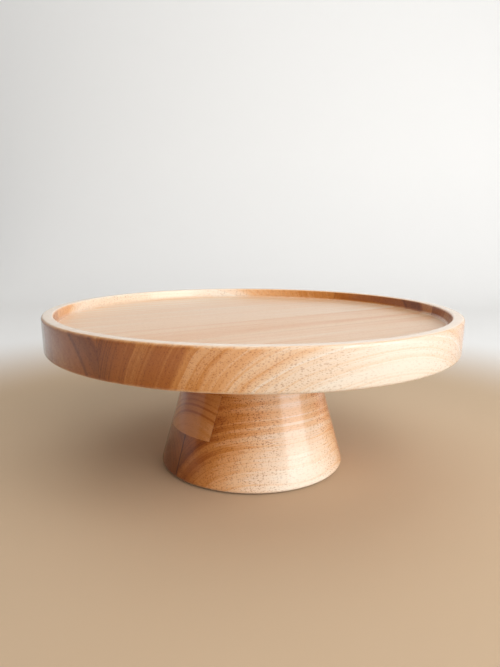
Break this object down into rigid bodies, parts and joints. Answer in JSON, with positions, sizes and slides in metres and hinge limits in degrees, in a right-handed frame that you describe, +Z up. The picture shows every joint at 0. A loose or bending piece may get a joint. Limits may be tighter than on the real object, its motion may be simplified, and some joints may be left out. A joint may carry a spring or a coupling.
{
  "type": "cake stand",
  "caption": "Low round wooden cake stand: a rimmed tray with a shallow recess on a solid conical pedestal, unscrewing from it for storage.",
  "frame": {"origin": "on the table, under the pedestal's centre", "axes": "+Z up along the turned axis, +Y away from the front, +X to the right seen from the front"},
  "size_m": [0.2998, 0.2998, 0.118],
  "materials": {
    "plate_wood": "satin",
    "pedestal_wood": "satin",
    "zinc_steel": "satin",
    "zinc_alloy": "satin",
    "fibre": "matte",
    "felt": "matte"
  },
  "bodies": {
    "pedestal": {"base_layer_front_board": "pedestal_wood", "base_layer_back_board": "pedestal_wood", "middle_layer_front_board": "pedestal_wood", "middle_layer_back_board": "pedestal_wood", "top_layer_front_board": "pedestal_wood", "top_layer_back_board": "pedestal_wood", "hanger_bolt": "zinc_steel", "felt_pads": "felt"},
    "washer": {"fibre_washer": "fibre"},
    "plate": {"plate_front_board": "plate_wood", "plate_front_middle_board": "plate_wood", "plate_back_middle_board": "plate_wood", "plate_back_board": "plate_wood", "threaded_insert": "zinc_alloy"}
  },
  "joints": [
    {"name": "plate_unscrew", "type": "hinge", "parent": "pedestal", "child": "washer", "pos_m": [0, 0, 0.092], "axis": [0, 0, 1], "range_deg": [0, 3456]},
    {"name": "plate_rise", "type": "slide", "parent": "washer", "child": "plate", "axis": [0, 0, 1], "range_m": [0, 0.0121]}
  ],
  "couplings": [
    {"joint": "plate_rise", "follows": "plate_unscrew", "m_per_rad": 0.00019894}
  ]
}
